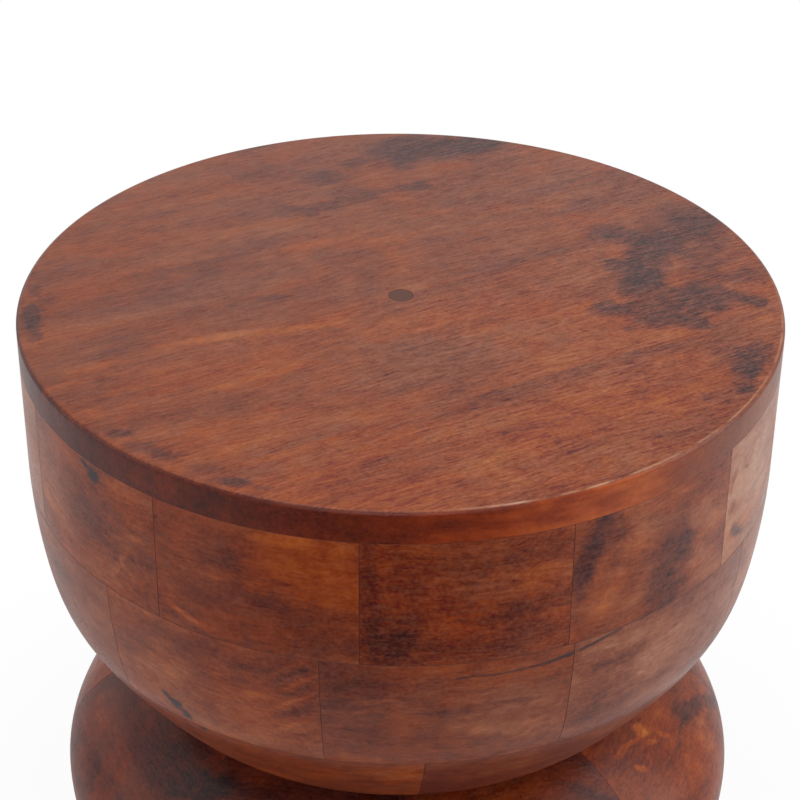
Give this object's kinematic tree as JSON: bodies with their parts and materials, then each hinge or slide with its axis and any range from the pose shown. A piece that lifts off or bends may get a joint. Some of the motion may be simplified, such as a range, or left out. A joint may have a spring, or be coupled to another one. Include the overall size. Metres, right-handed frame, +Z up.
{
  "type": "drum table",
  "caption": "Round turned wooden drum table: a block-built bowl on a rounded lobe, with a flat board top.",
  "frame": {"origin": "middle of the foot, on the floor", "axes": "+Z up along the turning axis; -Y is the side towards the picture's camera, +X its right"},
  "size_m": [0.4608, 0.4608, 0.445],
  "materials": {
    "top_wood": "red-brown stained hardwood boards under semi-gloss lacquer, dark smoky stains in places",
    "block_wood": "red-brown stained hardwood blocks under gloss lacquer, mottled and curly, each block its own tone",
    "base_wood": "stained hardwood boards, sanded and thinly lacquered",
    "plug_wood": "dark stained hardwood plug, flush and lacquered over"
  },
  "bodies": {
    "root": {"base_board_1": "base_wood", "base_board_2": "base_wood", "base_board_3": "base_wood", "foot_block_01": "block_wood", "foot_block_02": "block_wood", "foot_block_03": "block_wood", "foot_block_04": "block_wood", "foot_block_05": "block_wood", "foot_block_06": "block_wood", "foot_block_07": "block_wood", "foot_block_08": "block_wood", "lower_block_01": "block_wood", "lower_block_02": "block_wood", "lower_block_03": "block_wood", "lower_block_04": "block_wood", "lower_block_05": "block_wood", "lower_block_06": "block_wood", "lower_block_07": "block_wood", "lower_block_08": "block_wood", "lower_block_09": "block_wood", "middle_block_01": "block_wood", "middle_block_02": "block_wood", "middle_block_03": "block_wood", "middle_block_04": "block_wood", "middle_block_05": "block_wood", "middle_block_06": "block_wood", "middle_block_07": "block_wood", "middle_block_08": "block_wood", "middle_block_09": "block_wood", "middle_block_10": "block_wood", "rim_block_01": "block_wood", "rim_block_02": "block_wood", "rim_block_03": "block_wood", "rim_block_04": "block_wood", "rim_block_05": "block_wood", "rim_block_06": "block_wood", "rim_block_07": "block_wood", "rim_block_08": "block_wood", "rim_block_09": "block_wood", "rim_block_10": "block_wood", "rim_block_11": "block_wood", "rim_block_12": "block_wood", "shoulder_block_01": "block_wood", "shoulder_block_02": "block_wood", "shoulder_block_03": "block_wood", "shoulder_block_04": "block_wood", "shoulder_block_05": "block_wood", "shoulder_block_06": "block_wood", "shoulder_block_07": "block_wood", "shoulder_block_08": "block_wood", "top_board_1": "top_wood", "top_board_2": "top_wood", "top_board_3": "top_wood", "top_board_4": "top_wood", "top_plug": "plug_wood"}
  },
  "joints": []
}
